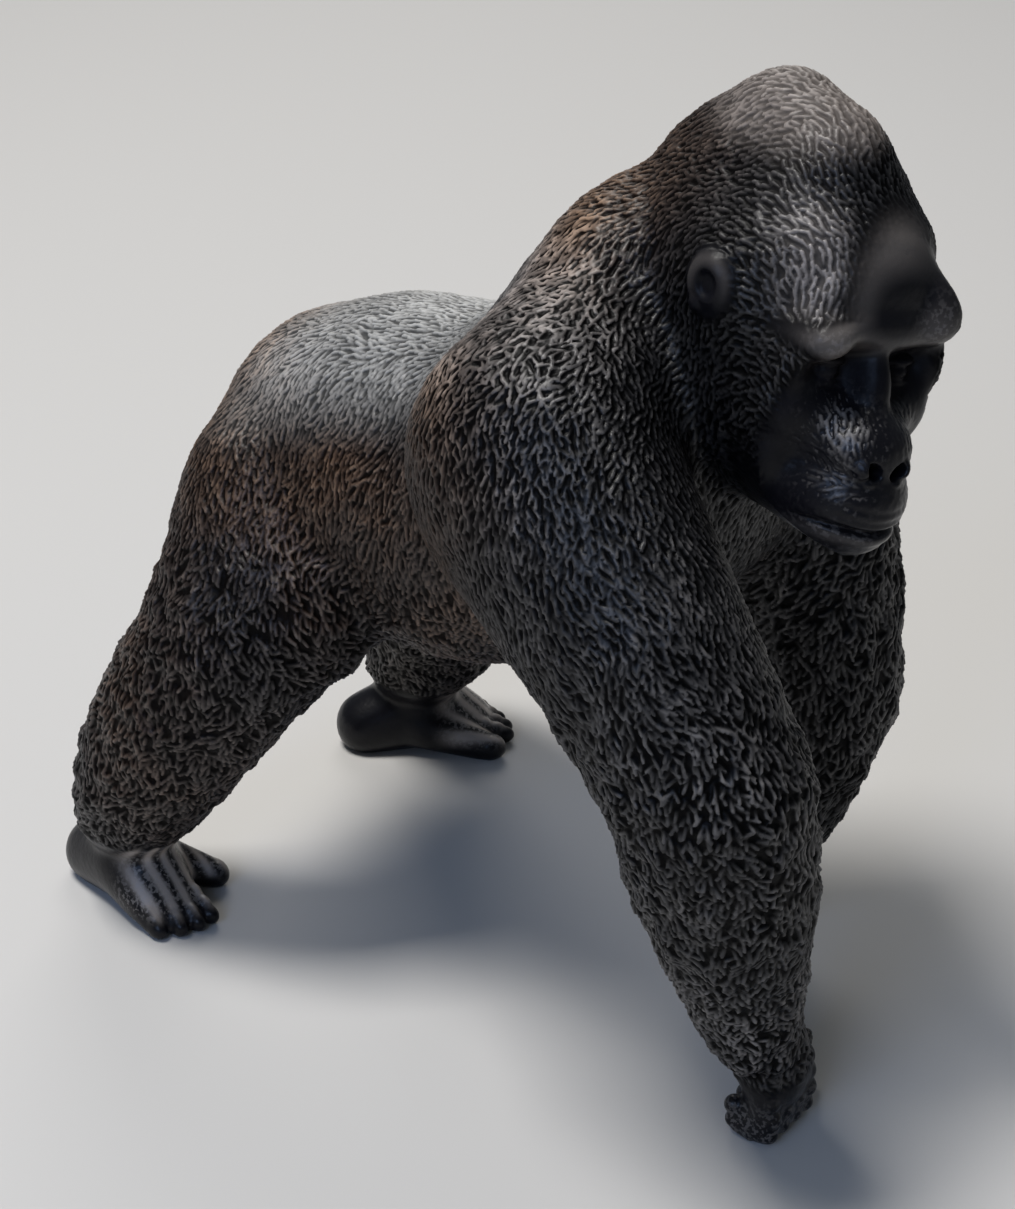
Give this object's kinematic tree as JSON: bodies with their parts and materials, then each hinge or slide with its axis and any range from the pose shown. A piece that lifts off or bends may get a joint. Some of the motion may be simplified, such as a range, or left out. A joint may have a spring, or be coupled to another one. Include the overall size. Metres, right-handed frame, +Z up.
{
  "type": "gorilla figurine",
  "caption": "Moulded plastic figurine of a silverback gorilla walking on its knuckles, its head turned to its right, with the fur moulded in relief; it stands by itself.",
  "frame": {"origin": "middle of the figurine's bounding box, on the plane that its feet and fists stand on", "axes": "+Z up, -Y the way that the body walks and looks, +X towards the animal's left"},
  "size_m": [0.0552, 0.0812, 0.0864],
  "materials": {
    "plastic": "matt to satin, charcoal with a silver-grey saddle and light dry-brushed hair tips"
  },
  "bodies": {
    "root": {"gorilla": "plastic"}
  },
  "joints": []
}
